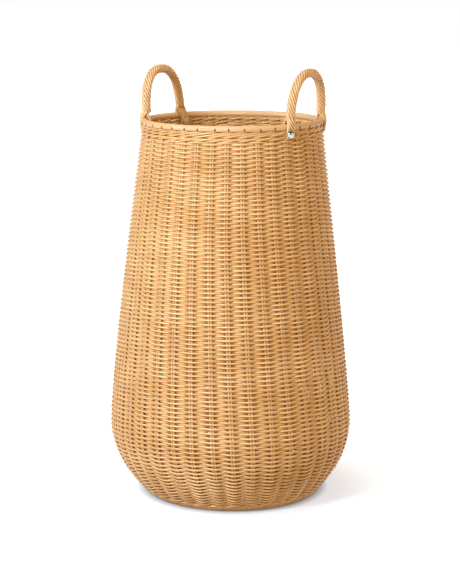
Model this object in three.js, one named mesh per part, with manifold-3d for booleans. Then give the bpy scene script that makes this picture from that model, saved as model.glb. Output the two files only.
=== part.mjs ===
// Tall pear-shaped laundry basket of woven rattan, with a pole rim and two twisted-cane handles.
// Millimetres, +Z up. The origin is on the floor at the centre of the foot, and the handles
// stand on the X axis, one at each side.

import * as THREE from "three";
import { mergeVertices } from "three/addons/utils/BufferGeometryUtils.js";
import Module from "manifold-3d";

const wasm = await Module();
wasm.setup();

// Overall sizes

const bodyHeight = 620; // floor to the top of the rim pole
const bellyRadius = 195.6; // middle of the wall at its widest
const bellyHeight = 116;
const footRadius = 142.5; // middle of the wall where it leaves the base
const footHeight = 4.5;
const bowlCornerHeight = 60; // where the foot's slope and the belly's upright would meet
const shoulderLength = 52; // how far the belly's upright line carries on above it
const mouthRadius = 142; // middle of the wall at the rim
const neckLength = 190; // stretch under the rim that follows the neck's slope
const neckFlare = 24; // how much wider that slope is at its lower end
const clearance = 0.3; // air between pieces that touch

// Woven wall: pairs of upright canes with weavers in front of and behind them

const stakeCount = 38;
const stakeWidth = 7; // two canes side by side
const stakeThickness = 3.4;
const stakeReach = 68; // length of each stake that is pushed into the base
const stakeTopDrop = 4.2; // stake ends, let into the rim pole, lie this far below its top
const weaverThickness = 3.3;
const bowlSteps = 3;
const sideSteps = 3;
const sideSpacing = 1.25; // steps grow longer towards the mouth, where the wall is straighter

// Base and the heavier woven bands at the foot and under the rim

const baseRise = 9; // the middle of the base stands this much above its edge
const baseThickness = 7.6;
const footWaleHeight = 8;
const footWaleInset = 7; // from the wall's foot to the inner edge of the band
const footWaleReach = 10; // and to its outer edge
const topWaleHeight = 11;
const topWaleThickness = 10.6;
const waleChamfer = 2.4;

// Rim pole

const poleDiameter = 10.4;
const poleOffset = 1; // its middle lies this far outside the middle of the stakes
const poleSides = 8;

// Handles: a cane core wrapped by strands, whose ends part round the rim

const handleHeight = 75; // rim top to the middle of the rope at the crown
const ropeDiameter = 15.2;
const ropeSides = 8;
const coreDiameter = 8;
const coreSides = 6;
const archSquareRatio = 2.4; // 2 is a plain ellipse, more is squarer at the shoulders
const archLeanRatio = 0.075; // outward lean for each millimetre of height
const archSteps = 20;
const legSpaceCount = 2.55; // spaces between stakes from the handle's middle to a leg
const legInset = 0.5; // leg's middle lies this far inside the rim pole's middle
const tailSplitHeight = 4; // strands part this far above the rim
const tailEmbed = 3; // overlap of a tail with the rope it comes from
const tailWidth = 13;
const tailThickness = 3.6;
const tailBow = 6; // height above the middle of the pole where the tails turn straight down
const tailSteps = 3;
const tailEndBelowRivet = 6;

// Rivets that hold the tails, one for each handle

const rivetSpaceCount = 2.72; // as for a leg; the tails spread apart on their way down
const rivetDrop = 10; // below the middle of the rim pole
const rivetHeadDiameter = 13.4;
const rivetDomeHeight = 4.2;
const rivetEdge = 0.8;
const rivetShankDiameter = 3.2;
const rivetPeenDiameter = 5;
const rivetPeenHeight = 1.3;
const washerDiameter = 11.2;
const washerThickness = 1.2;
const rivetSides = 8;

// Worked out from the sizes above

const stakeAngle = (2 * Math.PI) / stakeCount;
const rimBottom = bodyHeight - poleDiameter;
const poleHeight = bodyHeight - poleDiameter / 2;
const poleRadius = mouthRadius + poleOffset;
const ribHalf = stakeThickness / 2 + clearance + weaverThickness;
const gapHalf = weaverThickness / 2;
const wallBottom = footWaleHeight + clearance;
const topWaleTop = rimBottom - clearance;
const topWaleBottom = topWaleTop - topWaleHeight;
const wallTop = topWaleBottom - clearance;
const baseRadius = footRadius - footWaleInset - clearance;
const boreRadius = coreDiameter / 2 + clearance;
const shankRadius = rivetShankDiameter / 2;
const legAngle = legSpaceCount * stakeAngle;
const rivetAngle = rivetSpaceCount * stakeAngle;
const tailSplay = rivetAngle - legAngle;
const legRadius = poleRadius - legInset;
const legFoot = bodyHeight + tailSplitHeight;

const cane = new THREE.MeshStandardMaterial({ color: 0xc79a5b, roughness: 0.55, metalness: 0 });
const weave = new THREE.MeshStandardMaterial({ color: 0xb98a4c, roughness: 0.65, metalness: 0 });
const pole = new THREE.MeshStandardMaterial({ color: 0xcfa468, roughness: 0.4, metalness: 0 });
const steel = new THREE.MeshStandardMaterial({ color: 0xc9c8c4, roughness: 0.25, metalness: 1 });

// Solids for cutting and joining

function solid(geometry) {
  const plain = geometry.clone();
  plain.deleteAttribute("normal");
  plain.deleteAttribute("uv");
  const merged = mergeVertices(plain, 1e-4);
  return new wasm.Manifold(
    new wasm.Mesh({
      numProp: 3,
      vertProperties: new Float32Array(merged.attributes.position.array),
      triVerts: new Uint32Array(merged.index.array),
    }),
  );
}

function geometryOf(body) {
  const skin = body.getMesh();
  const geometry = new THREE.BufferGeometry();
  geometry.setAttribute("position", new THREE.BufferAttribute(skin.vertProperties, 3));
  geometry.setIndex(new THREE.BufferAttribute(skin.triVerts, 1));
  geometry.computeVertexNormals();
  return geometry;
}

// Skin over a row of rings with equal counts of points, closed at both ends
function loft(rings) {
  const count = rings[0].length;
  const positions = rings.flat().flatMap((point) => point.toArray());
  const faces = [];
  for (let ring = 0; ring < rings.length - 1; ring++) {
    for (let i = 0; i < count; i++) {
      const a = ring * count + i;
      const b = ring * count + ((i + 1) % count);
      faces.push(a, b, b + count, a, b + count, a + count);
    }
  }
  const last = (rings.length - 1) * count;
  for (let i = 1; i < count - 1; i++) {
    faces.push(0, i + 1, i, last, last + i, last + i + 1);
  }
  const geometry = new THREE.BufferGeometry();
  geometry.setAttribute("position", new THREE.Float32BufferAttribute(positions, 3));
  geometry.setIndex(faces);
  geometry.computeVertexNormals();
  return geometry;
}

const up = new THREE.Vector3(0, 0, 1);

// Bar of rectangular section along stations in the XZ plane, each turned about the Z axis if it says so
function bar(stations, width, thickness) {
  const corners = [[-1, -1], [-1, 1], [1, 1], [1, -1]];
  const rings = stations.map(({ point, outward, turn = 0 }) =>
    corners.map(([side, face]) => {
      const corner = point.clone().addScaledVector(outward, (face * thickness) / 2);
      corner.y += (side * width) / 2;
      return corner.applyAxisAngle(up, turn);
    }),
  );
  return loft(rings);
}

// A profile of [radius, height] points turned round the Z axis, from an angle measured from +X
function turned(profile, segments, start = 0) {
  const points = profile.map(([radius, height]) => new THREE.Vector2(radius, height));
  return new THREE.LatheGeometry(points, segments, Math.PI / 2 + start).rotateX(Math.PI / 2);
}

// Disc or band with one flat for each stake
function stakeBand(profile) {
  return turned(profile, stakeCount, stakeAngle / 2);
}

function mesh(name, geometry, material) {
  const piece = new THREE.Mesh(geometry, material);
  piece.name = name;
  return piece;
}

// Middle line of the wall: a bowl from the foot to the belly, then a long taper to the mouth

const foot = new THREE.Vector3(footRadius, 0, footHeight);
const belly = new THREE.Vector3(bellyRadius, 0, bellyHeight);
const mouth = new THREE.Vector3(mouthRadius, 0, rimBottom);
const bowl = new THREE.QuadraticBezierCurve3(
  foot,
  new THREE.Vector3(bellyRadius, 0, bowlCornerHeight),
  belly,
);
const side = new THREE.CubicBezierCurve3(
  belly,
  new THREE.Vector3(bellyRadius, 0, bellyHeight + shoulderLength),
  new THREE.Vector3(mouthRadius + neckFlare, 0, rimBottom - neckLength),
  mouth,
);

function station(curve, t) {
  const tangent = curve.getTangent(t);
  return { point: curve.getPoint(t), outward: new THREE.Vector3(tangent.z, 0, -tangent.x) };
}

// Where a rising curve reaches a height, by halving
function atHeight(curve, height) {
  let low = 0;
  let high = 1;
  while (high - low > 1e-7) {
    const middle = (low + high) / 2;
    if (curve.getPoint(middle).z < height) low = middle;
    else high = middle;
  }
  return low;
}

// Stations between two heights of a wall curve, with both ends cut level
function wallStations(curve, bottom, top, steps, spacing) {
  const low = atHeight(curve, bottom);
  const high = atHeight(curve, top);
  const stations = [];
  for (let i = 0; i <= steps; i++) {
    stations.push(station(curve, THREE.MathUtils.lerp(low, high, (i / steps) ** spacing)));
  }
  for (const end of [stations[0], stations.at(-1)]) {
    end.outward.set(1 / end.outward.x, 0, 0);
  }
  return stations;
}

// Closed profile lying a half thickness to each side of the stations
function shellProfile(stations, half) {
  const offset = ({ point, outward }, distance) => [
    point.x + outward.x * distance,
    point.z + outward.z * distance,
  ];
  const outer = stations.map((place) => offset(place, half));
  const inner = stations.map((place) => offset(place, -half)).reverse();
  return [...outer, ...inner, outer[0]];
}

// Stakes: along the base, up the wall and into the rim pole

const bowlStations = wallStations(bowl, wallBottom, bellyHeight, bowlSteps, 1);
const sideStations = wallStations(side, bellyHeight + clearance, wallTop, sideSteps, sideSpacing);

function baseMiddle(radius) {
  return footHeight + (baseRise * (footRadius - radius)) / footRadius;
}

function stakeStations(extra) {
  const innerRadius = footRadius - stakeReach - extra;
  const inner = new THREE.Vector3(innerRadius, 0, baseMiddle(innerRadius));
  const alongBase = foot.clone().sub(inner).normalize();
  const underBase = new THREE.Vector3(alongBase.z, 0, -alongBase.x);
  const footStation = station(bowl, 0);
  footStation.outward.add(underBase).normalize();
  const upright = new THREE.Vector3(1, 0, 0);
  const top = new THREE.Vector3(mouthRadius, 0, bodyHeight - stakeTopDrop + extra);
  return [
    { point: inner, outward: underBase },
    footStation,
    ...bowlStations.slice(1),
    ...sideStations.slice(1, -1),
    { point: mouth.clone(), outward: upright },
    { point: top, outward: upright },
  ];
}

const stakeGeometry = bar(stakeStations(0), stakeWidth, stakeThickness);
const channelGeometry = bar(
  stakeStations(clearance),
  stakeWidth + 2 * clearance,
  stakeThickness + 2 * clearance,
);

function withStakeChannels(geometry) {
  let body = solid(geometry);
  for (let i = 0; i < stakeCount; i++) {
    body = body.subtract(solid(channelGeometry.clone().rotateZ(i * stakeAngle)));
  }
  return body;
}

function stakes() {
  const group = new THREE.Group();
  for (let i = 0; i < stakeCount; i++) {
    const stake = mesh(`stake_${String(i + 1).padStart(2, "0")}`, stakeGeometry, cane);
    stake.rotation.z = i * stakeAngle;
    group.add(stake);
  }
  return group;
}

// Woven wall: thick where the weavers pass round a stake, one weaver thick between stakes
function wallWeave(name, stations) {
  const ribProfile = shellProfile(stations, ribHalf);
  const gapProfile = shellProfile(stations, gapHalf);
  const shell = turned(ribProfile, 2 * stakeCount);
  const gaps = turned(gapProfile, 2 * stakeCount).attributes.position;
  const places = shell.attributes.position;
  for (let i = 0; i < places.count; i++) {
    const column = Math.floor(i / ribProfile.length);
    if (column % 2 === 1) places.setXYZ(i, gaps.getX(i), gaps.getY(i), gaps.getZ(i));
  }
  return mesh(name, geometryOf(withStakeChannels(shell)), weave);
}

// Base: a woven disc, domed so that only the foot band touches the floor
function baseWeave() {
  const edge = baseMiddle(baseRadius);
  const centre = baseMiddle(0);
  const half = baseThickness / 2;
  const disc = stakeBand([
    [0, centre - half],
    [baseRadius, edge - half],
    [baseRadius, edge + half],
    [0, centre + half],
  ]);
  return mesh("base_weave", geometryOf(withStakeChannels(disc)), weave);
}

// Heavier band round the foot, flat underneath, that the basket stands on
function footWale() {
  const inner = footRadius - footWaleInset;
  const outer = footRadius + footWaleReach;
  const band = stakeBand([
    [inner, 0],
    [outer - 2 * waleChamfer, 0],
    [outer, footWaleHeight / 2],
    [outer - waleChamfer / 2, footWaleHeight],
    [inner, footWaleHeight],
    [inner, 0],
  ]);
  return mesh("foot_wale", geometryOf(withStakeChannels(band)), weave);
}

// Rivet line: level, through both tails and the band under the rim

const topWaleMiddle = (topWaleTop + topWaleBottom) / 2;
const topWaleRadius = side.getPoint(atHeight(side, topWaleMiddle)).x;
const outerTailRadius = poleRadius + poleDiameter / 2 + clearance + tailThickness / 2;
const tailSag = (tailWidth / 2) * Math.tan(stakeAngle / 2); // a flat tail on the round band
const innerTailRadius =
  topWaleRadius - topWaleThickness / 2 - tailSag - clearance - tailThickness / 2;
const rivetHeight = poleHeight - rivetDrop;
const rivetGrip = outerTailRadius - innerTailRadius + tailThickness + 2 * clearance;
const rivetSeat = outerTailRadius + tailThickness / 2 + clearance;

// One rivet for each handle, as turns about the Z axis; the other leg is only tucked in
const rivetTurns = [-rivetAngle, Math.PI - rivetAngle];

function rivetHole(turn) {
  const radius = shankRadius + clearance;
  const hole = new THREE.CylinderGeometry(radius, radius, 2 * rivetGrip, rivetSides);
  hole.rotateZ(Math.PI / 2).translate(rivetSeat - rivetGrip / 2, 0, rivetHeight).rotateZ(turn);
  return solid(hole);
}

// Heavier band under the rim, pierced by both rivets
function topWale() {
  const half = topWaleThickness / 2;
  const slim = half - waleChamfer;
  const low = side.getPoint(atHeight(side, topWaleBottom)).x;
  const high = side.getPoint(atHeight(side, topWaleTop)).x;
  const band = stakeBand([
    [low - slim, topWaleBottom],
    [low + slim, topWaleBottom],
    [topWaleRadius + half, topWaleMiddle],
    [high + slim, topWaleTop],
    [high - slim, topWaleTop],
    [topWaleRadius - half, topWaleMiddle],
    [low - slim, topWaleBottom],
  ]);
  let body = withStakeChannels(band);
  for (const turn of rivetTurns) body = body.subtract(rivetHole(turn));
  return mesh("top_wale", geometryOf(body), weave);
}

// Pole bent to a hoop, with a slot underneath for the end of every stake
function rimHoop() {
  const hoop = new THREE.TorusGeometry(poleRadius, poleDiameter / 2, poleSides, stakeCount);
  hoop.translate(0, 0, poleHeight);
  return mesh("rim_hoop", geometryOf(withStakeChannels(hoop)), pole);
}

// Handle arch: a rounded hoop that rises from both legs and leans outwards
class HandleArch extends THREE.Curve {
  constructor(footLevel) {
    super();
    this.footLevel = footLevel;
  }

  getPoint(t, target = new THREE.Vector3()) {
    const power = 2 / archSquareRatio;
    const angle = Math.PI * t;
    const across = -Math.sign(Math.cos(angle)) * Math.abs(Math.cos(angle)) ** power;
    const rise = Math.max(Math.sin(angle), 0) ** power;
    const height = (bodyHeight + handleHeight - this.footLevel) * rise;
    const lean = archLeanRatio * (this.footLevel - legFoot + height);
    return target.set(
      legRadius * Math.cos(legAngle) + lean,
      legRadius * Math.sin(legAngle) * across,
      this.footLevel + height,
    );
  }
}

// Round bar along an arch
function archBar(arch, sides, radius) {
  const facing = new THREE.Vector3(1, 0, -archLeanRatio).normalize();
  const rings = [];
  for (let i = 0; i <= archSteps; i++) {
    const along = i / archSteps;
    const point = arch.getPointAt(along);
    const tangent = arch.getTangentAt(along);
    const across = tangent.clone().cross(facing).normalize();
    const ring = [];
    for (let k = 0; k < sides; k++) {
      const angle = (2 * Math.PI * k) / sides;
      const spoke = facing.clone().multiplyScalar(Math.cos(angle));
      spoke.addScaledVector(across, Math.sin(angle));
      ring.push(point.clone().addScaledVector(spoke, radius));
    }
    rings.push(ring);
  }
  return loft(rings);
}

// Flat run of strands from the rope's end, past the rim, to a little below the rivet. It spreads
// sideways on its way down, to the left or right as hand is -1 or 1
function tail(start, radius, hand) {
  const bend = new THREE.Vector3(radius, 0, poleHeight + tailBow);
  const rimPlace = new THREE.Vector3(radius, 0, poleHeight);
  const swing = new THREE.QuadraticBezierCurve3(start, bend, rimPlace);
  const stations = [];
  for (let i = 0; i <= tailSteps; i++) stations.push(station(swing, i / tailSteps));
  const outward = stations.at(-1).outward;
  for (const height of [rivetHeight, rivetHeight - tailEndBelowRivet]) {
    stations.push({ point: new THREE.Vector3(radius, 0, height), outward });
  }
  for (const place of stations) {
    const drop = (start.z - place.point.z) / (start.z - rivetHeight);
    place.turn = hand * tailSplay * Math.min(drop, 1);
  }
  return solid(bar(stations, tailWidth, tailThickness));
}

function legTails(hand) {
  const reach = boreRadius + tailThickness / 2;
  const height = legFoot + tailEmbed;
  const outerStart = new THREE.Vector3(legRadius + reach, 0, height);
  const innerStart = new THREE.Vector3(legRadius - reach, 0, height);
  const outer = tail(outerStart, outerTailRadius, hand);
  const inner = tail(innerStart, innerTailRadius, hand);
  return outer.add(inner).rotate([0, 0, THREE.MathUtils.radToDeg(hand * legAngle)]);
}

function handleWrap() {
  const arch = new HandleArch(legFoot);
  let body = solid(archBar(arch, ropeSides, ropeDiameter / 2));
  body = body.add(legTails(-1)).add(legTails(1));
  const bore = new HandleArch(bodyHeight);
  body = body.subtract(solid(archBar(bore, coreSides, boreRadius)));
  body = body.subtract(rivetHole(-rivetAngle));
  return geometryOf(body);
}

function handles() {
  const wrap = handleWrap();
  const coreArch = new HandleArch(bodyHeight + clearance);
  const core = archBar(coreArch, coreSides, coreDiameter / 2);
  const group = new THREE.Group();
  for (const [name, turn] of [["right", 0], ["left", Math.PI]]) {
    const handle = new THREE.Group();
    handle.rotation.z = turn;
    handle.add(mesh(`${name}_handle_core`, core, cane));
    handle.add(mesh(`${name}_handle_wrap`, wrap, cane));
    group.add(handle);
  }
  return group;
}

// Domed rivets with a washer and a hammered end inside the basket

function rivetGeometry() {
  const head = rivetHeadDiameter / 2;
  const tip = -(rivetGrip + washerThickness + clearance);
  const domeTurn = Math.PI / 4;
  const profile = [
    [0, tip - rivetPeenHeight],
    [rivetPeenDiameter / 2, tip],
    [shankRadius, tip],
    [shankRadius, 0],
    [head, 0],
    [head, rivetEdge],
    [head * Math.cos(domeTurn), rivetEdge + (rivetDomeHeight - rivetEdge) * Math.sin(domeTurn)],
    [0, rivetDomeHeight],
  ];
  return turned(profile, rivetSides).rotateY(Math.PI / 2);
}

function washerGeometry() {
  const near = -rivetGrip;
  const far = near - washerThickness;
  const hole = shankRadius + clearance;
  const rim = washerDiameter / 2;
  const profile = [[hole, far], [rim, far], [rim, near], [hole, near], [hole, far]];
  return turned(profile, rivetSides).rotateY(Math.PI / 2);
}

function rivets() {
  const rivet = rivetGeometry();
  const washer = washerGeometry();
  const places = ["right_front", "left_back"];
  const group = new THREE.Group();
  places.forEach((place, i) => {
    const seat = new THREE.Group();
    seat.position.set(rivetSeat, 0, rivetHeight);
    seat.add(mesh(`${place}_rivet`, rivet, steel));
    seat.add(mesh(`${place}_washer`, washer, steel));
    const leg = new THREE.Group();
    leg.rotation.z = rivetTurns[i];
    leg.add(seat);
    group.add(leg);
  });
  return group;
}

const basket = new THREE.Group();
basket.add(baseWeave(), footWale(), stakes());
basket.add(wallWeave("bowl_weave", bowlStations), wallWeave("side_weave", sideStations));
basket.add(topWale(), rimHoop(), handles(), rivets());

export default basket;
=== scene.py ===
import math

import bpy
import numpy as np
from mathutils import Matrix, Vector


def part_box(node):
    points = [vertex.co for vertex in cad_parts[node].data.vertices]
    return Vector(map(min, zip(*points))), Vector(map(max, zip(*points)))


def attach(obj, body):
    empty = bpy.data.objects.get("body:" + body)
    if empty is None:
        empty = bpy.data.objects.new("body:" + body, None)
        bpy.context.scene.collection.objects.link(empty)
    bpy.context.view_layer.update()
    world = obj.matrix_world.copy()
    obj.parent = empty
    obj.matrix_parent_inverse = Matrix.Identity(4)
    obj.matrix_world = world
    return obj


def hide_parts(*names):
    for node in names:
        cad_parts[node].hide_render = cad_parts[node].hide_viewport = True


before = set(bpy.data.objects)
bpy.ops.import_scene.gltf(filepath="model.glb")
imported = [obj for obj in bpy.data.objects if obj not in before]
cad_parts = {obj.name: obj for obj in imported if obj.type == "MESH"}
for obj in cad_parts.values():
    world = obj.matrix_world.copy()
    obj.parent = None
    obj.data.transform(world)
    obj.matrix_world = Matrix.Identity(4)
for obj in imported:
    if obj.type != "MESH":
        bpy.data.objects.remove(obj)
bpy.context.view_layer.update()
print("frame loaded,", len(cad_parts), "CAD nodes")

dice = np.random.default_rng(38)  # every stray and wobble comes from here
fullTurn = 2 * math.pi
tiny = 1e-6        # metres, when faces are picked by height
grainLength = 40   # metres of grain, and each cane starts somewhere in it

rimLow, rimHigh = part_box("rim_hoop")

basketForm = {  # metres, the middle line of the wall from the hub to the mouth
    "stakes": 38,
    "footRadius": 0.1425,
    "footHeight": 0.0045,
    "baseRise": 0.009,
    "bowlCorner": 0.060,
    "bellyRadius": 0.1956,
    "bellyHeight": 0.116,
    "shoulder": 0.052,
    "neck": 0.190,
    "neckFlare": 0.024,
    "mouthRadius": 0.142,
    "mouthHeight": rimLow.z,
    "stakeTop": rimHigh.z - 0.0042,  # stakes end inside the rim pole
    "curvePoints": 400,
    "step": 0.001,
    "footEase": 4,       # steps of softening where the stakes turn up
    "stakeStray": 0.05,  # share of a stake space
    # height, share of a stake space: the stakes lean over from foot to rim
    "stakeLean": ((0.0, 0.60), (0.45, 0.04), (0.61, 0.0)),
    "bow": 0.0035,       # hand made: the side bulges a little to one hand
    "bowPower": 0.6,     # under 1, the bulge lies below half the height
    "bowTurn": math.radians(206.9),
}
stakeCount = basketForm["stakes"]
stakeTurn = fullTurn / stakeCount


# helpers

def deselectAll():
    if bpy.context.object and bpy.context.object.mode != "OBJECT":
        bpy.ops.object.mode_set(mode="OBJECT")
    bpy.ops.object.select_all(action="DESELECT")


def bendCane(points, thick, fat=None, roundness=2, twist="Z_UP", sunk=None):
    deselectAll()
    bpy.ops.curve.primitive_nurbs_path_add()
    cane = bpy.context.object
    form = cane.data
    form.splines.clear()
    line = form.splines.new("POLY")
    line.points.add(len(points) - 1)
    line.points.foreach_set("co", np.column_stack([points, np.ones(len(points))]).ravel())
    if fat is not None:
        line.points.foreach_set("radius", fat)
    line.use_smooth = True
    form.twist_mode = twist
    form.bevel_depth = thick / 2
    form.bevel_resolution = roundness
    form.use_fill_caps = True
    bpy.ops.object.convert(target="MESH")
    cane = bpy.context.object
    # U goes round the cane, V becomes metres along it, each cane from its own start
    layer = cane.data.uv_layers[0]
    layer.name = "caneUv"
    uv = np.empty(2 * len(layer.uv), np.float32)
    layer.uv.foreach_get("vector", uv)
    along = uv[1::2].copy()
    length = np.linalg.norm(np.diff(points, axis=0), axis=1).sum()
    uv[1::2] = along * length + dice.uniform(0, grainLength)
    layer.uv.foreach_set("vector", uv)
    # second map: how deep in the weave the cane lies, -1 outside to 1 inside; it sets the painted highlight
    # and painted shade
    if sunk is None:
        uv[0::2] = 0
    else:
        uv[0::2] = np.interp(along * (len(points) - 1), np.arange(len(points)), sunk)
    uv[1::2] = 0
    cane.data.uv_layers.new(name="caneSunk").uv.foreach_set("vector", uv)
    return cane


def joinParts(name, parts):
    deselectAll()
    for part in parts:
        part.select_set(True)
    bpy.context.view_layer.objects.active = parts[0]
    if len(parts) > 1:
        bpy.ops.object.join()
    piece = bpy.context.object
    piece.name = name
    piece.data.name = name
    return piece


def finishPiece(piece, material, slotName, *nodes):
    if material:
        piece.data.materials.clear()
        piece.data.materials.append(material)
    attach(piece, "root")
    if nodes:
        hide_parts(*nodes)


def steadyWobble(waves, size):
    # slow sum of waves, to be read at many places
    phases = dice.uniform(0, fullTurn, len(waves))

    def value(x):
        total = sum(np.sin(wave * x + phase) for wave, phase in zip(waves, phases))
        return total * size / math.sqrt(len(waves))
    return value


def wobble(x, waves, size):
    return steadyWobble(waves, size)(x)


def softLine(points, step):
    # smooth line through the given points
    points = np.asarray(points, float)
    ends = np.vstack([2 * points[0] - points[1], points, 2 * points[-1] - points[-2]])
    out = []
    for i in range(1, len(ends) - 2):
        a, b, c, d = ends[i - 1:i + 3]
        count = max(1, int(math.ceil(np.linalg.norm(c - b) / step)))
        t = (np.arange(count) / count)[:, None]
        out.append(b + 0.5 * t * (c - a + t * (2 * a - 5 * b + 4 * c - d
                                               + t * (3 * (b - c) + d - a))))
    out.append(points[-1:])
    return np.vstack(out)


def runAlong(line):
    return np.concatenate([[0], np.cumsum(np.linalg.norm(np.diff(line, axis=0), axis=1))])


# wall line: base, bowl, side and the upright stake ends, in even steps

def traceWall():
    form = basketForm
    hub = np.array([0.0, form["footHeight"] + form["baseRise"]])
    foot = np.array([form["footRadius"], form["footHeight"]])
    corner = np.array([form["bellyRadius"], form["bowlCorner"]])
    belly = np.array([form["bellyRadius"], form["bellyHeight"]])
    mouth = np.array([form["mouthRadius"], form["mouthHeight"]])
    shoulder = belly + (0, form["shoulder"])
    neck = mouth + (form["neckFlare"], -form["neck"])
    end = np.array([form["mouthRadius"], form["stakeTop"]])
    t = np.linspace(0, 1, form["curvePoints"])[:, None]
    base = hub + (foot - hub) * t
    bowl = (1 - t) ** 2 * foot + 2 * t * (1 - t) * corner + t * t * belly
    side = ((1 - t) ** 3 * belly + 3 * t * (1 - t) ** 2 * shoulder
            + 3 * t * t * (1 - t) * neck + t ** 3 * mouth)
    line = np.vstack([base, bowl[1:], side[1:], [end]])
    run = runAlong(line)
    run -= np.linalg.norm(foot - hub)
    even = np.arange(run[0], run[-1] + form["step"] / 2, form["step"])
    ease = form["footEase"]
    taps = np.hanning(2 * ease + 3)[1:-1]
    taps /= taps.sum()
    sides = []
    for column in (0, 1):
        plain = np.interp(even, run, line[:, column])
        padded = np.pad(plain, ease, mode="reflect", reflect_type="odd")
        sides.append(np.convolve(padded, taps, mode="valid"))
    radius, height = sides
    alongR, alongZ = np.gradient(radius), np.gradient(height)
    size = np.hypot(alongR, alongZ)
    return even, radius, height, alongZ / size, -alongR / size


wallRun, wallRadius, wallHeight, wallOutR, wallOutZ = traceWall()
stakeStray = dice.uniform(-basketForm["stakeStray"], basketForm["stakeStray"], stakeCount)


def onWall(run, turn, out):
    form = basketForm
    radius = np.interp(run, wallRun, wallRadius) + out * np.interp(run, wallRun, wallOutR)
    height = np.interp(run, wallRun, wallHeight) + out * np.interp(run, wallRun, wallOutZ)
    share = np.clip(height / form["mouthHeight"], 0, 1) ** form["bowPower"]
    bow = form["bow"] * np.sin(math.pi * share)
    return np.column_stack([radius * np.cos(turn) + bow * math.cos(form["bowTurn"]),
                            radius * np.sin(turn) + bow * math.sin(form["bowTurn"]), height])


def runAt(height):
    onSide = wallRun >= 0
    return float(np.interp(height, wallHeight[onSide], wallRun[onSide]))


def stakeLean(run):
    heights, leans = zip(*basketForm["stakeLean"])
    return np.interp(np.interp(run, wallRun, wallHeight), heights, leans)


def stakeShift(place, run):
    # how far the stakes near a place stray, in stake spaces
    stray = np.append(stakeStray, stakeStray[0])
    lean = stakeLean(run)
    return lean + np.interp((place - lean) % stakeCount, np.arange(stakeCount + 1), stray)


# materials

def addNode(tree, kind, **settings):
    node = tree.nodes.new(kind)
    for name, value in settings.items():
        setattr(node, name, value)
    return node


def mathNode(tree, operation, first, second=None):
    node = addNode(tree, "ShaderNodeMath", operation=operation)
    for socket, value in zip(node.inputs, (first, second)):
        if value is None:
            continue
        if isinstance(value, (int, float)):
            socket.default_value = value
        else:
            tree.links.new(value, socket)
    return node.outputs[0]


def spread(tree, value, low, high, toLow, toHigh):
    node = addNode(tree, "ShaderNodeMapRange")
    tree.links.new(value, node.inputs["Value"])
    for name, number in (("From Min", low), ("From Max", high), ("To Min", toLow), ("To Max", toHigh)):
        node.inputs[name].default_value = number
    return node.outputs["Result"]


def stretchedNoise(tree, axes, form):
    place = addNode(tree, "ShaderNodeCombineXYZ")
    for socket, axis, stretch in zip(place.inputs, axes, form["stretch"]):
        tree.links.new(mathNode(tree, "MULTIPLY", axis, stretch), socket)
    noise = addNode(tree, "ShaderNodeTexNoise")
    noise.inputs["Scale"].default_value = form["scale"]
    noise.inputs["Detail"].default_value = form["detail"]
    tree.links.new(place.outputs[0], noise.inputs["Vector"])
    return noise.outputs["Fac"]


def mixColors(tree, factor, first, second):
    node = addNode(tree, "ShaderNodeMix", data_type="RGBA")
    for socket, value in ((node.inputs[0], factor), (node.inputs[6], first), (node.inputs[7], second)):
        if isinstance(value, tuple):
            socket.default_value = (*value, 1)
        else:
            tree.links.new(value, socket)
    return node.outputs[2]


def newMaterial(name):
    material = bpy.data.materials.new(name)
    material.use_nodes = True
    return material, material.node_tree, material.node_tree.nodes["Principled BSDF"]


caneSkin = {  # noises: stretch on each axis, scale, detail and the range that shows
    # tone drifts slowly along each cane
    "tone": {"stretch": (1.0,), "scale": 5.0, "detail": 2.0, "range": (0.3, 0.7)},
    # rows near each other darken and fade together
    "patch": {"stretch": (7.0, 7.0, 24.0), "scale": 1.0, "detail": 2.0, "range": (0.35, 0.65)},
    # fibres run along the cane
    "fibre": {"stretch": (3.2, 3.2, 26.0), "scale": 1.7, "detail": 4.0, "range": (0.3, 0.7)},
    # short brown marks where the skin was scraped
    "mark": {"stretch": (0.7, 0.7, 38.0), "scale": 1.0, "detail": 3.0, "range": (0.60, 0.72)},
    # fine wrinkles across a thick pole
    "wrinkle": {"stretch": (1.3, 1.3, 300.0), "scale": 1.0, "detail": 2.0, "range": (0.3, 0.7)},
    "crestPaintedHighlight": 0.45,         # painted highlight: a weaver is paler where it rides over a stake
    "paintedShadeMost": 0.85,          # and painted shade: browner where it goes in behind one
    "paintedShadeDepths": (-0.1, 0.5),    # depths in the weave where the painted shade starts and is full
    "inside": (0.55, 0.8),     # and where the painted shade fades again
    "roughFibre": (0.25, 0.75),
    "rough": (0.38, 0.20),
    "specular": 1.0,
    "bump": 0.0004,            # height of the grain
}


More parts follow.
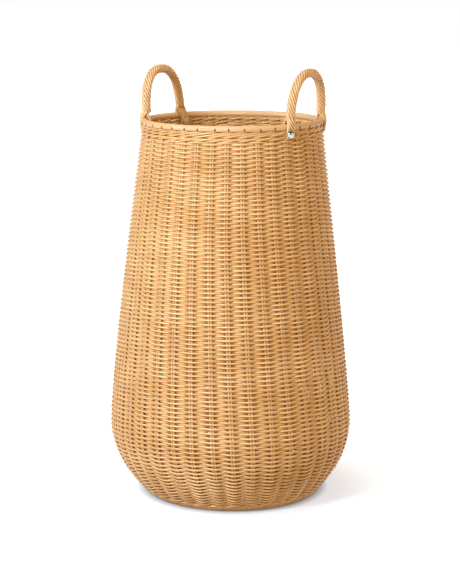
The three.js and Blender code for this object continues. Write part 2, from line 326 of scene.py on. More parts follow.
def makeCaneGrain():
    skin = caneSkin
    group = bpy.data.node_groups.new("caneGrain", "ShaderNodeTree")
    face = group.interface
    for name in ("Pale", "Deep", "Stain And Shade"):
        face.new_socket(name, in_out="INPUT", socket_type="NodeSocketColor")
    for name in ("Strand Tone", "Fibre Tone", "Patch Tone", "Mark Amount", "Wrinkles"):
        face.new_socket(name, in_out="INPUT", socket_type="NodeSocketFloat")
    face.new_socket("Color", in_out="OUTPUT", socket_type="NodeSocketColor")
    face.new_socket("Roughness", in_out="OUTPUT", socket_type="NodeSocketFloat")
    face.new_socket("Height", in_out="OUTPUT", socket_type="NodeSocketFloat")
    given = addNode(group, "NodeGroupInput").outputs
    result = addNode(group, "NodeGroupOutput").inputs

    def mapParts(uvMap):
        parts = addNode(group, "ShaderNodeSeparateXYZ")
        uv = addNode(group, "ShaderNodeUVMap", uv_map=uvMap)
        group.links.new(uv.outputs[0], parts.inputs[0])
        return parts.outputs

    def share(name, noise, amount):
        swing = spread(group, noise, *skin[name]["range"], -0.5, 0.5)
        return mathNode(group, "MULTIPLY", swing, given[amount])

    caneUv = mapParts("caneUv")
    along = caneUv[1]
    around = mathNode(group, "MULTIPLY", caneUv[0], fullTurn)
    onCane = (mathNode(group, "COSINE", around), mathNode(group, "SINE", around), along)
    place = addNode(group, "ShaderNodeTexCoord")
    spot = addNode(group, "ShaderNodeSeparateXYZ")
    group.links.new(place.outputs["Object"], spot.inputs[0])
    tone = stretchedNoise(group, (along,), skin["tone"])
    patch = stretchedNoise(group, spot.outputs, skin["patch"])
    fibre = stretchedNoise(group, onCane, skin["fibre"])
    mark = stretchedNoise(group, onCane, skin["mark"])
    mark = spread(group, mark, *skin["mark"]["range"], 0.0, 1.0)
    wrinkle = share("wrinkle", stretchedNoise(group, onCane, skin["wrinkle"]), "Wrinkles")
    # the wood goes from deep to pale with the sum of the noises
    wood = mathNode(group, "ADD", share("tone", tone, "Strand Tone"), share("fibre", fibre, "Fibre Tone"))
    wood = mathNode(group, "ADD", wood, 0.5)
    wood = mathNode(group, "ADD", wood, wrinkle)
    wood = mathNode(group, "ADD", wood, share("patch", patch, "Patch Tone"))
    wood = mathNode(group, "MAXIMUM", mathNode(group, "MINIMUM", wood, 1.0), 0.0)
    colour = mixColors(group, wood, given["Deep"], given["Pale"])
    scraped = mathNode(group, "MULTIPLY", mark, given["Mark Amount"])
    stained = mixColors(group, scraped, colour, given["Stain And Shade"])
    # painted highlight over the stakes, painted shade where the weaver goes in behind them, none again on
    # the inside face of the basket
    sunk = mapParts("caneSunk")[0]
    withPaintedHighlight = mixColors(group, spread(group, sunk, -1.0, 0.0, skin["crestPaintedHighlight"], 0.0), stained, given["Pale"])
    paintedShadeRising = spread(group, sunk, *skin["paintedShadeDepths"], 0.0, skin["paintedShadeMost"])
    inside = spread(group, sunk, *skin["inside"], skin["paintedShadeMost"], 0.0)
    # the stain colour doubles as the painted shade here
    withPaintedShade = mixColors(group, mathNode(group, "MINIMUM", paintedShadeRising, inside), withPaintedHighlight, given["Stain And Shade"])
    group.links.new(withPaintedShade, result["Color"])
    rough = spread(group, fibre, *skin["roughFibre"], *skin["rough"])
    group.links.new(rough, result["Roughness"])
    group.links.new(mathNode(group, "ADD", fibre, wrinkle), result["Height"])
    return group


caneGrain = makeCaneGrain()

caneLooks = {  # linear colours: pale wood, deep wood, brown marks that also serve as painted shade, tint of the shine
    "weaverCane": {"pale": (0.93, 0.600, 0.270), "deep": (0.67, 0.345, 0.096),
                   "stainAndShade": (0.24, 0.052, 0.006), "sheen": (1.0, 0.78, 0.52),
                   "strand": 0.7, "fibre": 0.5, "patch": 0.5, "marks": 0.5, "wrinkles": 0.0, "bump": 0.25},
    "stakeCane": {"pale": (0.95, 0.65, 0.31), "deep": (0.77, 0.44, 0.160),
                  "stainAndShade": (0.36, 0.14, 0.030), "sheen": (1.0, 0.84, 0.62),
                  "strand": 0.5, "fibre": 0.5, "patch": 0.2, "marks": 0.25, "wrinkles": 0.0, "bump": 0.25},
    "rimCane": {"pale": (0.93, 0.61, 0.32), "deep": (0.66, 0.36, 0.140),
                "stainAndShade": (0.42, 0.18, 0.050), "sheen": (1.0, 0.86, 0.66),
                "strand": 0.4, "fibre": 0.5, "patch": 0.0, "marks": 0.3, "wrinkles": 2.0, "bump": 0.3},
    "handleCane": {"pale": (0.93, 0.62, 0.31), "deep": (0.66, 0.37, 0.145),
                   "stainAndShade": (0.40, 0.17, 0.050), "sheen": (1.0, 0.84, 0.62),
                   "strand": 0.7, "fibre": 0.6, "patch": 0.0, "marks": 0.3, "wrinkles": 0.0, "bump": 0.25},
}


def makeCaneMaterial(name):
    look = caneLooks[name]
    material, tree, shader = newMaterial(name)
    grain = addNode(tree, "ShaderNodeGroup", node_tree=caneGrain)
    for socket, key in (("Pale", "pale"), ("Deep", "deep"), ("Stain And Shade", "stainAndShade")):
        grain.inputs[socket].default_value = (*look[key], 1)
    for socket, key in (("Strand Tone", "strand"), ("Fibre Tone", "fibre"), ("Patch Tone", "patch"),
                        ("Mark Amount", "marks"), ("Wrinkles", "wrinkles")):
        grain.inputs[socket].default_value = look[key]
    bump = addNode(tree, "ShaderNodeBump")
    bump.inputs["Strength"].default_value = look["bump"]
    bump.inputs["Distance"].default_value = caneSkin["bump"]
    tree.links.new(grain.outputs["Color"], shader.inputs["Base Color"])
    tree.links.new(grain.outputs["Roughness"], shader.inputs["Roughness"])
    tree.links.new(grain.outputs["Height"], bump.inputs["Height"])
    tree.links.new(bump.outputs[0], shader.inputs["Normal"])
    shader.inputs["Specular IOR Level"].default_value = caneSkin["specular"]
    shader.inputs["Specular Tint"].default_value = (*look["sheen"], 1)
    return material


weaverCane = makeCaneMaterial("weaverCane")
stakeCane = makeCaneMaterial("stakeCane")
rimCane = makeCaneMaterial("rimCane")
handleCane = makeCaneMaterial("handleCane")

metalSkin = {
    "scale": 900,
    "detail": 4,
    "smudges": (0.3, 0.7),
    "wear": (0.45, 0.7),
    "wearMost": 0.6,
    "wornTone": 0.8,     # share of the clean colour
    "specular": 0.1,
}
metalLooks = {
    "rivetNickel": {"colour": (0.62, 0.66, 0.55), "rough": (0.24, 0.34), "metallic": 1.0},
    "washerSteel": {"colour": (0.70, 0.48, 0.25), "rough": (0.5, 0.65), "metallic": 0.2},
    # nearly black: a dark nail, with painted shade for the shadow it sits in under the pole
    "pinSteelPaintedShade": {"colour": (0.05, 0.020, 0.008), "rough": (0.8, 0.9), "metallic": 0.0},
}


def makeMetal(name):
    look = metalLooks[name]
    material, tree, shader = newMaterial(name)
    place = addNode(tree, "ShaderNodeTexCoord")
    noise = addNode(tree, "ShaderNodeTexNoise")
    noise.inputs["Scale"].default_value = metalSkin["scale"]
    noise.inputs["Detail"].default_value = metalSkin["detail"]
    tree.links.new(place.outputs["Object"], noise.inputs["Vector"])
    smudge = spread(tree, noise.outputs["Fac"], *metalSkin["smudges"], *look["rough"])
    tree.links.new(smudge, shader.inputs["Roughness"])
    worn = tuple(metalSkin["wornTone"] * channel for channel in look["colour"])
    wear = spread(tree, noise.outputs["Fac"], *metalSkin["wear"], 0.0, metalSkin["wearMost"])
    tree.links.new(mixColors(tree, wear, look["colour"], worn), shader.inputs["Base Color"])
    shader.inputs["Metallic"].default_value = look["metallic"]
    shader.inputs["Specular IOR Level"].default_value = metalSkin["specular"]
    return material


rivetNickel = makeMetal("rivetNickel")
washerSteel = makeMetal("washerSteel")
pinSteelPaintedShade = makeMetal("pinSteelPaintedShade")
print("materials ready")


# side weave: two canes chase each other up the wall, over one stake pair and under the next

sideWeave = {
    "caneThick": 0.00375,
    "reach": 0.00360,      # middle of a weaver to the middle of the wall, at a stake
    "flat": 0.40,          # how soon a weaver settles back to the middle of the wall
    "crossing": 0.12,      # weavers are packed hard against each other between stakes
    "from": 0.0088,        # heights
    "to": 0.5992,
    "pitchRun": (0.0, 0.10, 0.20, 0.36, 0.62),   # along the wall, with the rows this far apart
    "pitch": (0.00335, 0.00365, 0.00360, 0.00350, 0.00345),
    "tablePoints": 3000,
    "pointsPerStake": 8,
    "rowWobble": 0.00010,
    "rowWaves": (0.37, 0.83, 1.61, 2.27),
    "depthWobble": 0.06,
    "depthWaves": (0.41, 1.13, 2.05),
    "fatWobble": 0.045,
    "fatWaves": (0.29, 0.71, 1.9),
    "bandWobble": 0.0007,  # whole bands of rows rise and fall together
    "bandWaves": (2, 3, 5, 7),
    "bandClimb": 14,
    "bandPhase": 6.28,
    "sideBands": 5,
    "waleGap": 0.2,        # rows from the last turn to the top wale
}


def rowTable(settings):
    grid = np.linspace(runAt(settings["from"]), runAt(settings["to"]), settings["tablePoints"])
    step = np.interp(grid, settings["pitchRun"], settings["pitch"])
    rows = np.concatenate([[0], np.cumsum(np.diff(grid) / step[1:])])
    return grid, rows


def weaverLine(settings, grid, rows, turnFrom, turnTo, weaver, noise):
    count = int(round((turnTo - turnFrom) * stakeCount * settings["pointsPerStake"])) + 1
    place = np.linspace(turnFrom, turnTo, count) * stakeCount
    turn = place * stakeTurn
    row = weaver + 2 * place / stakeCount
    run = np.interp(row, rows, grid)
    lift = noise["own"][weaver](place)
    for bumps, climb, phase in noise["bands"]:
        lift = lift + settings["bandWobble"] / 2 * np.sin(bumps * turn + climb * run + phase)
    wave = np.cos(math.pi * (place - stakeShift(place, run) + weaver))
    flat = settings["flat"]
    out = settings["reach"] * ((1 - flat) * wave + flat * wave ** 3) * (1 + noise["depth"][weaver](place))
    fat = 1 + noise["fat"][weaver](place) + settings["crossing"] * (1 - wave ** 4)
    return onWall(run + lift, turn, out), fat, -out / settings["reach"]


def weaveWall():
    settings = sideWeave
    grid, rows = rowTable(settings)
    turns = (rows[-1] - 1) / 2
    bellyTurn = np.interp(runAt(basketForm["bellyHeight"]), grid, rows) / 2
    climb = settings["bandClimb"]
    noise = {
        "own": [steadyWobble(settings["rowWaves"], settings["rowWobble"]) for _ in range(2)],
        "depth": [steadyWobble(settings["depthWaves"], settings["depthWobble"]) for _ in range(2)],
        "fat": [steadyWobble(settings["fatWaves"], settings["fatWobble"]) for _ in range(2)],
        "bands": [(bumps, dice.uniform(-climb, climb), dice.uniform(0, settings["bandPhase"]))
                  for bumps in settings["bandWaves"]],
    }
    edges = [0.0, bellyTurn] + list(np.linspace(bellyTurn, turns, settings["sideBands"] + 1)[1:])
    for i, (low, high) in enumerate(zip(edges, edges[1:])):
        canes = []
        for weaver in (0, 1):
            points, fat, sunk = weaverLine(settings, grid, rows, low, high, weaver, noise)
            canes.append(bendCane(points, settings["caneThick"], fat, sunk=sunk))
        name, node = (f"sideWeave{i}", "side_weave") if i else ("bowlWeave", "bowl_weave")
        finishPiece(joinParts(name, canes), weaverCane, "woven_cane", node)
    print("side woven:", round(rows[-1]), "rows")
    # where the last turn ends, the top wale goes on
    return np.interp(2 * turns + settings["waleGap"], rows, grid), turns * stakeCount


topRun, topPlace = weaveWall()


# stakes: two canes side by side, from inside the base up into the rim pole

stakePair = {
    "caneThick": 0.0036,
    "apart": 0.0039,
    "baseReach": 0.068,
    "step": 0.007,
    "sway": 0.0002,
    "swayWaves": (31.0, 53.0, 87.0),
    "proud": 0.0004,      # a little nearer the outside of the wall
    "proudOver": 0.05,    # reached this far up from the foot
}


def setStakes():
    settings = stakePair
    for i in range(stakeCount):
        run = np.arange(-settings["baseReach"], wallRun[-1], settings["step"])
        run = np.append(run, wallRun[-1])
        turn = (i + stakeStray[i] + stakeLean(run)) * stakeTurn
        radius = np.interp(run, wallRun, wallRadius)
        proud = settings["proud"] * np.clip(run / settings["proudOver"], 0, 1)
        canes = []
        for hand in (-1, 1):
            sway = wobble(run, settings["swayWaves"], settings["sway"])
            across = hand * settings["apart"] / 2 / radius
            points = onWall(run, turn + across, sway + proud)
            canes.append(bendCane(points, settings["caneThick"], roundness=1, twist="MINIMUM"))
        finishPiece(joinParts(f"stake{i + 1:02d}", canes), stakeCane, "stake_cane", f"stake_{i + 1:02d}")
    print("stakes set:", stakeCount, "pairs")


setStakes()


# base: a coiled hub, nineteen sticks with one weaver, then the stakes with two

baseWeave = {
    "caneThick": 0.0034,
    "reach": 0.0032,
    "hubStart": 0.0016,
    "hubRadius": 0.0175,
    "hubPitch": 0.0031,
    "hubPoints": 40,      # in each turn
    "stickCount": 19,
    "stickThick": 0.0036,
    "stickFrom": 0.001,   # outside the hub
    "stickTo": 0.076,
    "stickPoints": 12,
    "innerFrom": 0.002,   # outside the hub
    "joinRadius": 0.072,
    "outerTo": 0.1355,
    "pitch": 0.00335,
    "pointsPerStake": 8,
}


def weaveBase():
    settings = baseWeave
    foot = basketForm["footRadius"]
    start = 0.5 + stakeLean(0)  # sticks stand between two stakes
    canes = []
    # hub
    turns = (settings["hubRadius"] - settings["hubStart"]) / settings["hubPitch"]
    turn = np.linspace(0, turns, int(turns * settings["hubPoints"])) * fullTurn
    radius = settings["hubStart"] + settings["hubPitch"] * turn / fullTurn
    canes.append(bendCane(onWall(radius - foot, turn, 0 * turn), settings["caneThick"]))
    # sticks
    sticks = settings["stickCount"]
    count = settings["stickPoints"]
    for i in range(sticks):
        radius = np.linspace(settings["hubRadius"] + settings["stickFrom"], settings["stickTo"], count)
        turn = np.full(count, (2 * i + start) * stakeTurn)
        canes.append(bendCane(onWall(radius - foot, turn, 0 * turn), settings["stickThick"]))
    # one weaver round the sticks
    inner = settings["hubRadius"] + settings["innerFrom"]
    turns = (settings["joinRadius"] - inner) / settings["pitch"]
    place = np.linspace(0, turns * sticks, int(turns * sticks * settings["pointsPerStake"]))
    turn = (2 * place + start) * stakeTurn
    wave = np.cos(math.pi * place)
    run = inner + settings["pitch"] * place / sticks - foot
    canes.append(bendCane(onWall(run, turn, settings["reach"] * wave), settings["caneThick"]))
    # two weavers round the stake ends
    turns = (settings["outerTo"] - settings["joinRadius"]) / settings["pitch"] / 2
    for weaver in (0, 1):
        place = np.linspace(0, turns * stakeCount, int(turns * stakeCount * settings["pointsPerStake"]))
        turn = place * stakeTurn
        run = settings["joinRadius"] + settings["pitch"] * (weaver + 2 * place / stakeCount) - foot
        wave = np.cos(math.pi * (place - stakeShift(place, run) + weaver))
        canes.append(bendCane(onWall(run, turn, settings["reach"] * wave), settings["caneThick"]))
    finishPiece(joinParts("baseWeave", canes), weaverCane, "woven_cane", "base_weave")
    print("base woven")


weaveBase()


# wales: three canes laid over two stakes and under one, rising to the right

waleLay = {
    "strands": 3,
    "pointsPerStake": 8,
    "crest": 0.8,         # share of the reach where a cane rounds off over the stakes
    "crestSoft": 0.35,
    "stray": 0.0002,
    "strayWaves": (0.5, 1.3),
}
footWale = {"caneThick": 0.0032, "reach": 0.0027, "from": -0.0036, "start": 0, "pitch": 0.0048,
            "rounds": 3, "to": 0.0106, "lift": 0.0017}
topWale = {"caneThick": 0.0032, "reach": 0.0033, "from": topRun, "start": topPlace, "pitch": 0.0062,
           "rounds": 2.8, "to": runAt(0.6072), "lift": 0.0018}


def layWale(settings):
    strands = waleLay["strands"]
    crest, soft = waleLay["crest"], waleLay["crestSoft"]
    spaces = settings["rounds"] * stakeCount
    canes = []
    for strand in range(strands):
        climb = np.linspace(0, spaces, round(spaces * waleLay["pointsPerStake"]) + 1)
        run = np.minimum(settings["from"] + settings["pitch"] * climb / stakeCount, settings["to"])
        place = settings["start"] + climb
        turn = place * stakeTurn
        phase = fullTurn * (place - stakeShift(place, run) + strand + 0.5) / strands
        wave = 4 / 3 * (np.cos(phase) + 0.25)  # 1 at two stakes, -1 at the third
        out = settings["reach"] * np.where(wave > crest, crest + soft * np.tanh((wave - crest) / soft), wave)
        lift = settings["lift"] * np.sin(phase) + wobble(place, waleLay["strayWaves"], waleLay["stray"])
        canes.append(bendCane(onWall(run + lift, turn, out), settings["caneThick"]))
    return canes


finishPiece(joinParts("footWale", layWale(footWale)), weaverCane, "woven_cane", "foot_wale")
finishPiece(joinParts("topWale", layWale(topWale)), weaverCane, "woven_cane", "top_wale")
print("wales laid")


# rim: one smooth pole bent to a hoop, with its knots, pinned to every stake

rimPole = {
    "thick": rimHigh.z - rimLow.z,
    "height": (rimHigh.z + rimLow.z) / 2,
    "ring": basketForm["mouthRadius"] + 0.0010,   # a little outside the stakes
    "points": 700,
    "roundness": 6,
    "start": math.radians(203.7),   # butt joint, under a strand tail
    "jointGap": 0.001,              # radians
    "uneven": 0.008,
    "unevenWaves": (3.0, 7.0, 11.0),
    "knots": (0.31, 1.094, 2.47, 3.66, 4.9, 5.75),   # radians round the rim
    "swell": 0.05,
    "swellWide": 0.004,
    "groove": 0.05,
    "grooveWide": 0.0011,
}


def bendRim():
    settings = rimPole
    count = settings["points"]
    gap = settings["jointGap"]
    turn = settings["start"] + np.linspace(gap, fullTurn - gap, count)
    ring = settings["ring"]
    points = np.column_stack([ring * np.cos(turn), ring * np.sin(turn), np.full(count, settings["height"])])
    fat = 1 + wobble(turn, settings["unevenWaves"], settings["uneven"])
    for knot in settings["knots"]:
        away = np.abs((turn - knot + math.pi) % fullTurn - math.pi) * ring
        fat += (settings["swell"] * np.exp(-(away / settings["swellWide"]) ** 2)
                - settings["groove"] * np.exp(-(away / settings["grooveWide"]) ** 2))
    pole = bendCane(points, settings["thick"], fat, roundness=settings["roundness"])
    finishPiece(joinParts("rimHoop", [pole]), rimCane, "rim_pole", "rim_hoop")


rimPin = {
    "size": (0.0018, 0.0009, 0.0042),
    "edge": 0.0003,
    "lift": -0.0012,    # from the middle of the pole
    "sunk": 0.0001,
    "aside": 0.14,      # share of a stake space, into the right-hand cane of a pair
    "turnStray": 0.01,
    "liftStray": 0.0005,
    "tiltStray": 0.12,
}


def drivePins():
    settings = rimPin
    deselectAll()
    bpy.ops.mesh.primitive_cube_add(size=1)
    first = bpy.context.object
    first.scale = settings["size"]
    bpy.ops.object.transform_apply(location=False, rotation=False, scale=True)
    bpy.ops.object.mode_set(mode="EDIT")
    bpy.ops.mesh.select_all(action="SELECT")
    bpy.ops.mesh.bevel(offset=settings["edge"], segments=2)
    bpy.ops.object.mode_set(mode="OBJECT")
    pins = [first]
    for _ in range(stakeCount - 1):
        pin = first.copy()
        pin.data = first.data.copy()
        bpy.context.collection.objects.link(pin)
        pins.append(pin)

    def stray(name):
        return dice.uniform(-settings[name], settings[name])

    lift = settings["lift"]
    reach = rimPole["ring"] + math.sqrt((rimPole["thick"] / 2) ** 2 - lift ** 2) - settings["sunk"]
    for i, pin in enumerate(pins):
        turn = (i + stakeStray[i] + settings["aside"]) * stakeTurn + stray("turnStray")
        height = rimPole["height"] + lift + stray("liftStray")
        pin.location = (reach * math.cos(turn), reach * math.sin(turn), height)
        pin.rotation_euler = (stray("tiltStray"), 0, turn + math.pi / 2)
    deselectAll()
    for pin in pins:
        pin.select_set(True)
    bpy.context.view_layer.objects.active = first
    bpy.ops.object.transform_apply(location=True, rotation=True, scale=True)
    finishPiece(joinParts("rimPins", pins), pinSteelPaintedShade, "rivet_steel")


bendRim()
drivePins()
print("rim bent and pinned")


# handles: a core with eight strands laid round it, which go down outside the rim,
# and a few more strands inside

ropeThick = 0.0152
handle = {
    "strands": 8,
    "strandThick": 0.0036,
    "strandStep": 0.0016,
    "coreThick": 0.0080,
    "coreGap": 0.0003,     # from the core's end to the pole
    "layLength": 0.059,
    "loose": 0.02,
    "looseWaves": (60.0, 130.0),
    "uneven": 0.03,
    "unevenWaves": (0.4, 1.1),
    "unevenOver": 40,
    "legSpaces": 2.55,
    "legInset": {"right": 0.0005, "left": 0.0030},
    "tailInset": {"right": 0.0, "left": 0.0014},
    "footLift": 0.004,
    # middle of the rope at the top, a little higher than the CAD one
    "crown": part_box("right_handle_wrap")[1].z + 0.0012 - ropeThick / 2,
    "squareness": 2.4,
    "lean": 0.075,
    "archPoints": 2000,
    "archStep": 0.002,
    "unwind": 0.006,       # the lay stops this far above the leg's foot
    "inside": {"right": (3, 5), "left": (5, 3)},   # strands inside the rim at either leg
    "insideApart": 0.0031,
    "insideThick": 0.0027,
    "insideStray": 0.0002,
    "insideWaves": (150.0, 310.0),
    "tailLay": 0.048,      # the tails go on turning, flattened against the pole
    "tailStep": 0.0012,
    "tailThin": 0.86,
    "thinFrom": 0.002,     # above the leg's foot
    "thinOver": 0.005,
    "rivetSpaces": 2.80,   # the tails spread apart on their way down
    "rivetHeight": 0.6048,
    # radius, height, half the width, half the depth
    "outerTail": ((0.1446, 0.6268, 0.0060, 0.0048), (0.1470, 0.6225, 0.0064, 0.0036),
                  (0.1490, 0.6180, 0.0067, 0.0024), (0.1499, 0.6130, 0.0066, 0.0015),
                  (0.1497, 0.6088, 0.0058, 0.0011), (0.1491, 0.6048, 0.0042, 0.0009),
                  (0.1488, 0.5988, 0.0030, 0.0008)),
    # radius, height
    "innerTail": ((0.1408, 0.6350), (0.1392, 0.6290), (0.1370, 0.6235), (0.1351, 0.6190), (0.1340, 0.6145),
                  (0.1337, 0.6105), (0.1340, 0.6060), (0.1347, 0.6010), (0.1352, 0.5970)),
}
legAngle = handle["legSpaces"] * stakeTurn
rivetAngle = handle["rivetSpaces"] * stakeTurn
legFoot = rimHigh.z + handle["footLift"]


def archLine(legRadius):
    rise = handle["crown"] - legFoot
    half = legRadius * math.sin(legAngle)
    angle = np.linspace(0, math.pi, handle["archPoints"])
    power = 2 / handle["squareness"]
    y = -half * np.sign(np.cos(angle)) * np.abs(np.cos(angle)) ** power
    z = legFoot + rise * np.sin(angle) ** power
    x = legRadius * math.cos(legAngle) + handle["lean"] * (z - legFoot)
    line = np.column_stack([x, y, z])
    run = runAlong(line)
    even = np.linspace(0, run[-1], int(run[-1] / handle["archStep"]))
    return even, np.column_stack([np.interp(even, run, line[:, i]) for i in range(3)])


def spreadTail(turn, height, out, across):
    # tails swing away from the handle's middle on their way down
    share = np.clip((height[0] - height) / (height[0] - handle["rivetHeight"]), 0, 1)
    turn = turn + math.copysign(rivetAngle - legAngle, turn) * share
    return np.column_stack([out * np.cos(turn) - across * np.sin(turn),
                            out * np.sin(turn) + across * np.cos(turn), height])


def outerStrand(turn, phase, inset):
    # the lay goes on, flattened, down over the pole and along the wall to below the rivet
    radius, height, wide, deep = softLine(handle["outerTail"], handle["tailStep"]).T
    drop = runAlong(np.column_stack([radius, height]))
    angle = phase + fullTurn * drop / handle["tailLay"]
    return spreadTail(turn, height, radius - inset + deep * np.cos(angle), wide * np.sin(angle))


def innerStrand(turn, across):
    radius, height = softLine(handle["innerTail"], handle["tailStep"]).T
    stray = wobble(height, handle["insideWaves"], handle["insideStray"])
    return spreadTail(turn, height, radius, across + stray)


def twistHandle(side):
    settings = handle
    run, middle = archLine(rimPole["ring"] - settings["legInset"][side])
    along = np.gradient(middle, axis=0)
    along /= np.linalg.norm(along, axis=1)[:, None]
    facing = np.array([1.0, 0, 0]) - along * along[:, :1]
    facing /= np.linalg.norm(facing, axis=1)[:, None]
    beside = np.cross(along, facing)
    ringRadius = (ropeThick - settings["strandThick"]) / 2
    keep = (run > settings["unwind"]) & (run < run[-1] - settings["unwind"])
    canes = []
    for i in range(settings["strands"]):
        angle = fullTurn * (i / settings["strands"] - run / settings["layLength"])
        loose = ringRadius * (1 + wobble(run, settings["looseWaves"], settings["loose"]))
        strand = (middle + (np.cos(angle) * loose)[:, None] * facing
                  + (np.sin(angle) * loose)[:, None] * beside)[keep]
        tails = []
        for end, turn in ((0, -legAngle), (-1, legAngle)):
            tip = strand[end] - middle[keep][end]
            outward = tip @ (math.cos(turn), math.sin(turn), 0)
            sideways = tip @ (-math.sin(turn), math.cos(turn), 0)
            tails.append(outerStrand(turn, math.atan2(sideways, outward), settings["tailInset"][side]))
        points = softLine(np.vstack([tails[0][::-1], strand[::2], tails[1]]), settings["strandStep"])
        thin = np.clip((legFoot + settings["thinFrom"] - points[:, 2]) / settings["thinOver"], 0, 1)
        place = np.linspace(0, settings["unevenOver"], len(points))
        fat = 1 + wobble(place, settings["unevenWaves"], settings["uneven"])
        fat = fat - (1 - settings["tailThin"]) * thin
        canes.append(bendCane(points, settings["strandThick"], fat, twist="MINIMUM"))
    for turn, count in zip((-legAngle, legAngle), settings["inside"][side]):
        for i in range(count):
            across = (i - (count - 1) / 2) * settings["insideApart"]
            points = innerStrand(turn, across)
            canes.append(bendCane(points, settings["insideThick"], twist="MINIMUM"))
    # the core goes on down to the pole
    down = np.array([0, 0, rimHigh.z + settings["coreGap"] - legFoot])
    points = np.vstack([middle[:1] + down, middle, middle[-1:] + down])
    core = bendCane(points, settings["coreThick"], twist="MINIMUM")
    return canes, core


def makeHandles():
    for side, turn in (("right", 0), ("left", math.pi)):
        canes, core = twistHandle(side)
        strands = joinParts(side + "HandleStrands", canes)
        core = joinParts(side + "HandleCore", [core])
        deselectAll()
        for part in (strands, core):
            part.select_set(True)
            part.rotation_euler = (0, 0, turn)
        bpy.ops.object.transform_apply(location=True, rotation=True, scale=True)
        finishPiece(strands, handleCane, "twisted_cane", side + "_handle_wrap")
        finishPiece(core, handleCane, "twisted_cane", side + "_handle_core")
    print("handles twisted")


makeHandles()


# rivets: a domed button outside, the shank hammered over a washer inside, one for each handle

rivet = {
    "seat": 0.1513,        # radius where the head sits on the outer tail
    "headSides": 48,
    "headRadius": 0.0066,
    "headHeight": 0.0044,
    "dome": 0.0038,
    "domeSteps": 10,
    "headSharp": math.radians(50),
    "shankSides": 32,
    "shankRadius": 0.0016,
    "shankLength": 0.0210,
    "peenRadius": 0.0025,
    "peenDrops": (0.0004, 0.0006, 0.0003),
    "peenShares": (0.8, 0.5),  # of the width, after the first drop
    "washerSides": 40,
    "washerRadius": 0.0056,
    "washerThick": 0.0012,
    "washerEdge": 0.0003,
    "washerSharp": math.radians(40),
    "washerAt": 0.0204,
}


def addCylinder(vertices, radius, depth, height):
    deselectAll()
    bpy.ops.mesh.primitive_cylinder_add(vertices=vertices, radius=radius, depth=depth,
                                        location=(0, 0, height))
    bpy.ops.object.transform_apply(location=True, rotation=True, scale=True)
    return bpy.context.object


def clearSelection(mode):
    bpy.ops.object.mode_set(mode="EDIT")
    bpy.ops.mesh.select_mode(type=mode)
    bpy.ops.mesh.select_all(action="DESELECT")
    bpy.ops.object.mode_set(mode="OBJECT")


def pressHead(settings):
    top = settings["headHeight"]
    head = addCylinder(settings["headSides"], settings["headRadius"], top, top / 2)
    clearSelection("EDGE")
    for edge in head.data.edges:
        edge.select = min(head.data.vertices[v].co.z for v in edge.vertices) > top - tiny
    bpy.ops.object.mode_set(mode="EDIT")
    bpy.ops.mesh.bevel(offset=settings["dome"], segments=settings["domeSteps"], profile=0.5)
    bpy.ops.object.mode_set(mode="OBJECT")
    head.data.materials.append(rivetNickel)
    return head


def hammerShank(settings):
    low = -settings["shankLength"]
    shank = addCylinder(settings["shankSides"], settings["shankRadius"], settings["shankLength"], low / 2)
    clearSelection("FACE")
    for face in shank.data.polygons:
        face.select = face.center.z < low + tiny
    bpy.ops.object.mode_set(mode="EDIT")
    shares = (settings["peenRadius"] / settings["shankRadius"], *settings["peenShares"])
    for drop, wide in zip(settings["peenDrops"], shares):
        bpy.ops.mesh.extrude_region_move(TRANSFORM_OT_translate={"value": (0, 0, -drop)})
        bpy.ops.transform.resize(value=(wide, wide, 1), center_override=(0, 0, low))
    bpy.ops.object.mode_set(mode="OBJECT")
    shank.data.materials.append(washerSteel)
    return shank


def cutWasher(settings):
    washer = addCylinder(settings["washerSides"], settings["washerRadius"], settings["washerThick"],
                         -settings["washerAt"])
    bpy.ops.object.mode_set(mode="EDIT")
    bpy.ops.mesh.select_all(action="SELECT")
    bpy.ops.mesh.bevel(offset=settings["washerEdge"], segments=3)
    bpy.ops.object.mode_set(mode="OBJECT")
    return washer


def driveIn(piece, turn, sharp):
    out = Vector((math.cos(turn), math.sin(turn), 0))
    piece.rotation_euler = out.to_track_quat("Z", "Y").to_euler()
    piece.location = rivet["seat"] * out + Vector((0, 0, handle["rivetHeight"]))
    bpy.ops.object.transform_apply(location=True, rotation=True, scale=True)
    bpy.ops.object.shade_smooth_by_angle(angle=sharp)


def setRivets():
    for name, turn in (("right_front", -rivetAngle), ("left_back", math.pi - rivetAngle)):
        button = joinParts(name + "Rivet", [pressHead(rivet), hammerShank(rivet)])
        driveIn(button, turn, rivet["headSharp"])
        finishPiece(button, None, "rivet_steel", name + "_rivet")
        washer = joinParts(name + "Washer", [cutWasher(rivet)])
        driveIn(washer, turn, rivet["washerSharp"])
        finishPiece(washer, washerSteel, "rivet_steel", name + "_washer")
    print("rivets set")


setRivets()


# studio: pale floor with a painted shadow round the basket, soft light from the upper left, camera where the
# photograph was taken

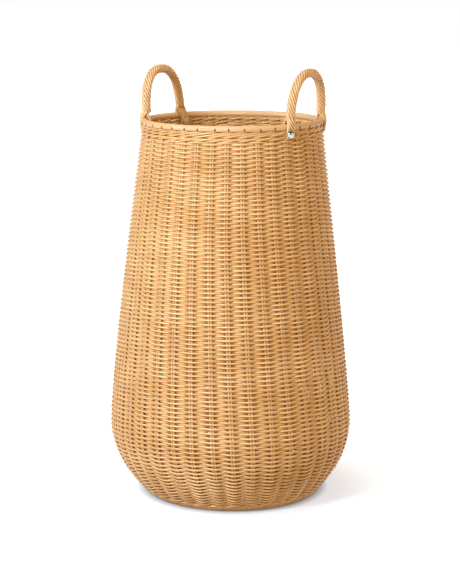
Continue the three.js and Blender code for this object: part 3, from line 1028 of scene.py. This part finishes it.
studio = {
    "azimuth": math.radians(26.9),
    "cameraAway": 2.7,
    "cameraHeight": 0.8615,
    "tilt": math.radians(10.95),
    "yaw": 0.0015,
    "pixelFocus": 1660,
    "pictureHeight": 575,
    "sensor": 36,
    "clipEnd": 100,
    "sky": 1.10,
    "skyColour": (1.0, 0.845, 0.59),
    # shiny things see a room that darkens towards the camera: from, to and what is left there
    "room": (-0.3, 0.35, 0.05),
    "roomWalls": (0.35, 0.35, 0.35),
    "keyPower": 28.3,
    "keyColour": (0.86, 1.09, 1.48),
    "keySize": 0.3,
    "keyPlace": (-1.0, 1.35, 1.34),  # right, towards the camera, up
    "keyAim": (0, 0, 0.3),
    "floorSize": 30,
    "floorColour": (0.40, 0.36, 0.335),
    "floorRough": 0.9,
    # glow in the middle of the painted shadow, 1 being plain white
    "floorGlow": 0.59,
    "glowColour": (0.945, 1.015, 1.10),
    "floorFade": (0.15, 0.33),    # metres from the painted shadow's middle until the floor is plain white
    "shadowAside": 0.04,
    "floorContactShadow": (0.138, 0.162),  # painted contact shadow: no glow under the basket, all of it a little past the foot
}
studioRight = Vector((math.cos(studio["azimuth"]), math.sin(studio["azimuth"]), 0))
studioFront = Vector((math.sin(studio["azimuth"]), -math.cos(studio["azimuth"]), 0))


def seenRays(tree):
    path = addNode(tree, "ShaderNodeLightPath")
    seen = mathNode(tree, "MAXIMUM", path.outputs["Is Camera Ray"], path.outputs["Is Glossy Ray"])
    return mathNode(tree, "MAXIMUM", seen, path.outputs["Is Transmission Ray"])


def layFloor():
    deselectAll()
    bpy.ops.mesh.primitive_plane_add(size=studio["floorSize"])
    floor = bpy.context.object
    floor.name = "floor"
    material, tree, shader = newMaterial("paleFloor")
    shader.inputs["Base Color"].default_value = (*studio["floorColour"], 1)
    shader.inputs["Roughness"].default_value = studio["floorRough"]
    shader.inputs["Specular IOR Level"].default_value = 0.0
    shader.inputs["Emission Color"].default_value = (*studio["glowColour"], 1)
    # the glow, seen by camera and shiny rays only, dims near the basket into a painted shadow
    place = addNode(tree, "ShaderNodeTexCoord")
    away = addNode(tree, "ShaderNodeVectorMath", operation="DISTANCE")
    tree.links.new(place.outputs["Object"], away.inputs[0])
    away.inputs[1].default_value = studio["shadowAside"] * studioRight
    glow = spread(tree, away.outputs["Value"], *studio["floorFade"], studio["floorGlow"], 1.0)
    middle = addNode(tree, "ShaderNodeVectorMath", operation="LENGTH")
    tree.links.new(place.outputs["Object"], middle.inputs[0])
    clear = spread(tree, middle.outputs["Value"], *studio["floorContactShadow"], 0.0, 1.0)
    glow = mathNode(tree, "MULTIPLY", glow, clear)
    tree.links.new(mathNode(tree, "MULTIPLY", seenRays(tree), glow), shader.inputs["Emission Strength"])
    floor.data.materials.append(material)


def lightStudio():
    world = bpy.data.worlds.new("studio")
    bpy.context.scene.world = world
    world.use_nodes = True
    tree = world.node_tree
    background = tree.nodes["Background"]
    path = addNode(tree, "ShaderNodeLightPath")
    place = addNode(tree, "ShaderNodeTexCoord")
    facing = addNode(tree, "ShaderNodeVectorMath", operation="DOT_PRODUCT")
    tree.links.new(place.outputs["Object"], facing.inputs[0])
    facing.inputs[1].default_value = studioFront
    low, high, dark = studio["room"]
    room = spread(tree, facing.outputs["Value"], low, high, 1.0, dark)
    seen = mathNode(tree, "MAXIMUM", path.outputs["Is Camera Ray"], path.outputs["Is Transmission Ray"])
    sky = tuple(studio["sky"] * channel for channel in studio["skyColour"])
    mirrored = mixColors(tree, room, (0.0, 0.0, 0.0), studio["roomWalls"])
    shown = mixColors(tree, path.outputs["Is Glossy Ray"], sky, mirrored)
    tree.links.new(mixColors(tree, seen, shown, (1.0, 1.0, 1.0)), background.inputs["Color"])
    across, near, up = studio["keyPlace"]
    place = across * studioRight + near * studioFront + Vector((0, 0, up))
    deselectAll()
    bpy.ops.object.light_add(type="AREA", location=place)
    key = bpy.context.object
    key.data.size = studio["keySize"]
    key.data.energy = studio["keyPower"]
    key.data.color = studio["keyColour"]
    key.rotation_euler = (Vector(studio["keyAim"]) - place).to_track_quat("-Z", "Y").to_euler()


def placeCamera():
    place = studio["cameraAway"] * studioFront + Vector((0, 0, studio["cameraHeight"]))
    deselectAll()
    bpy.ops.object.camera_add(location=place, rotation=(math.pi / 2 - studio["tilt"], 0,
                                                        studio["azimuth"] + studio["yaw"]))
    camera = bpy.context.object
    camera.data.sensor_fit = "VERTICAL"
    camera.data.sensor_height = studio["sensor"]
    camera.data.lens = studio["sensor"] * studio["pixelFocus"] / studio["pictureHeight"]
    camera.data.clip_end = studio["clipEnd"]
    bpy.context.scene.camera = camera


layFloor()
lightStudio()
placeCamera()
bpy.context.scene.view_settings.view_transform = "Standard"
print("studio ready")
